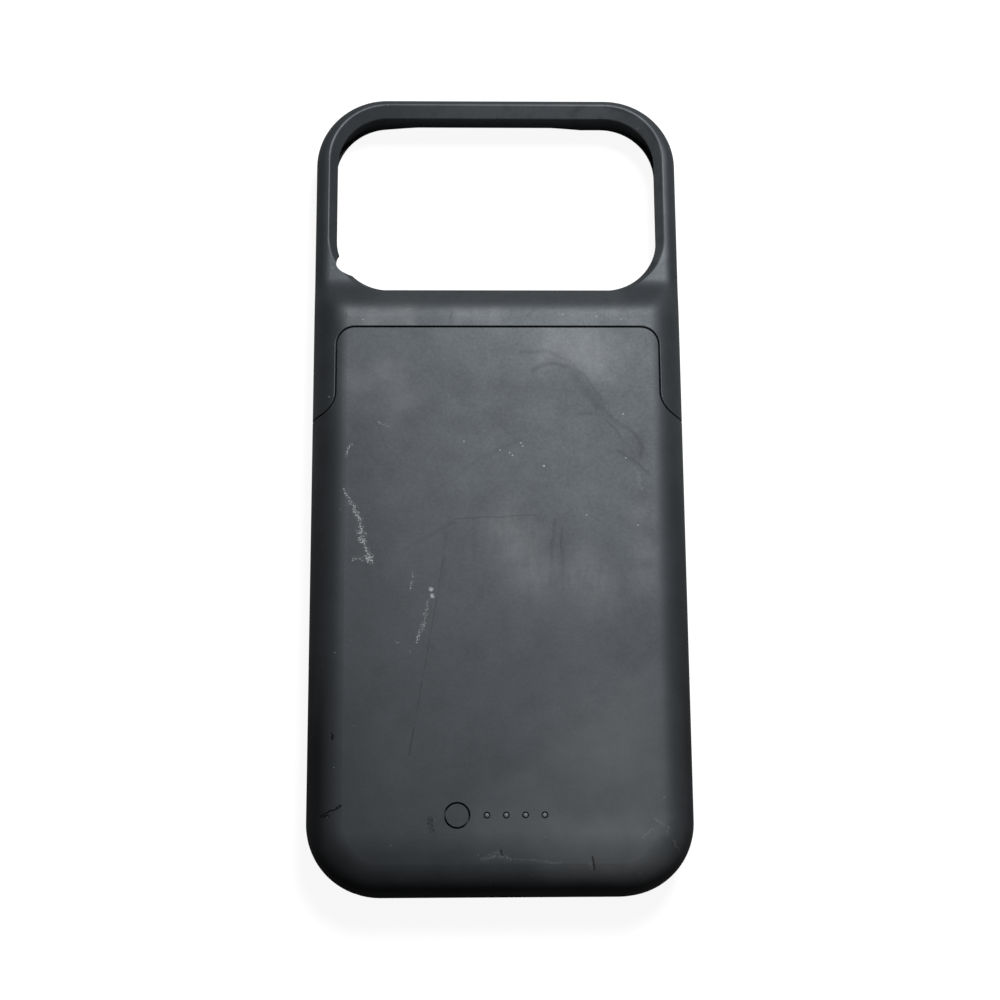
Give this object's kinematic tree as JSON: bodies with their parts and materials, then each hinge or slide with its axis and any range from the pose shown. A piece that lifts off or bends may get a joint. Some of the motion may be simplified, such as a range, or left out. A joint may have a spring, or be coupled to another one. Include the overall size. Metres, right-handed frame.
{
  "type": "battery charging case",
  "caption": "Slide-apart battery case for a phone: soft-touch back with a full-width camera window, status button, lights, and a plug inside the chin.",
  "frame": {"origin": "middle of the case in plan, on the plane of the front lips that it lies on", "axes": "+X to the right seen from the back, +Y up to the camera window, +Z from the front lips to the back"},
  "size_m": [0.0828, 0.1818, 0.0175],
  "materials": {
    "case_plastic": "soft-touch charcoal, scuffed",
    "cradle_plastic": "fine moulded grain",
    "button_plastic": "soft-touch charcoal",
    "clear_plastic": "frosted clear",
    "led_resin": "clear resin",
    "board_laminate": "solder mask",
    "part_epoxy": "moulded epoxy",
    "screw_steel": "zinc plated",
    "cell_foil": "laminated foil",
    "tape_foam": "black foam tape",
    "tab_nickel": "nickel strip",
    "port_steel": "drawn steel",
    "plug_plastic": "moulded black",
    "flex_film": "amber film"
  },
  "bodies": {
    "case_body": {"back_shell": "case_plastic", "phone_cradle": "cradle_plastic", "tact_switch": "part_epoxy", "light_pipe": "clear_plastic", "status_leds": "led_resin", "main_board": "board_laminate", "control_chips": "part_epoxy", "power_inductors": "part_epoxy", "board_screws": "screw_steel", "battery_cell": "cell_foil", "battery_tape": "tape_foam", "protection_board": "board_laminate", "battery_tabs": "tab_nickel", "chin_board": "board_laminate", "charge_port_shell": "port_steel", "charge_port_tongue": "plug_plastic", "phone_plug_shell": "port_steel", "phone_plug_core": "plug_plastic", "plug_base": "plug_plastic", "link_flex": "flex_film"},
    "cap": {"top_cap": "case_plastic"},
    "button": {"status_button": "button_plastic", "switch_plunger": "part_epoxy"}
  },
  "joints": [
    {"name": "cap_slide", "type": "slide", "parent": "case_body", "child": "cap", "axis": [0, 1, 0], "range_m": [0, 0.025]},
    {"name": "button_press", "type": "slide", "parent": "case_body", "child": "button", "axis": [0, 0, -1], "range_m": [0, 0.00035], "stiffness_N_per_m": 4600}
  ]
}
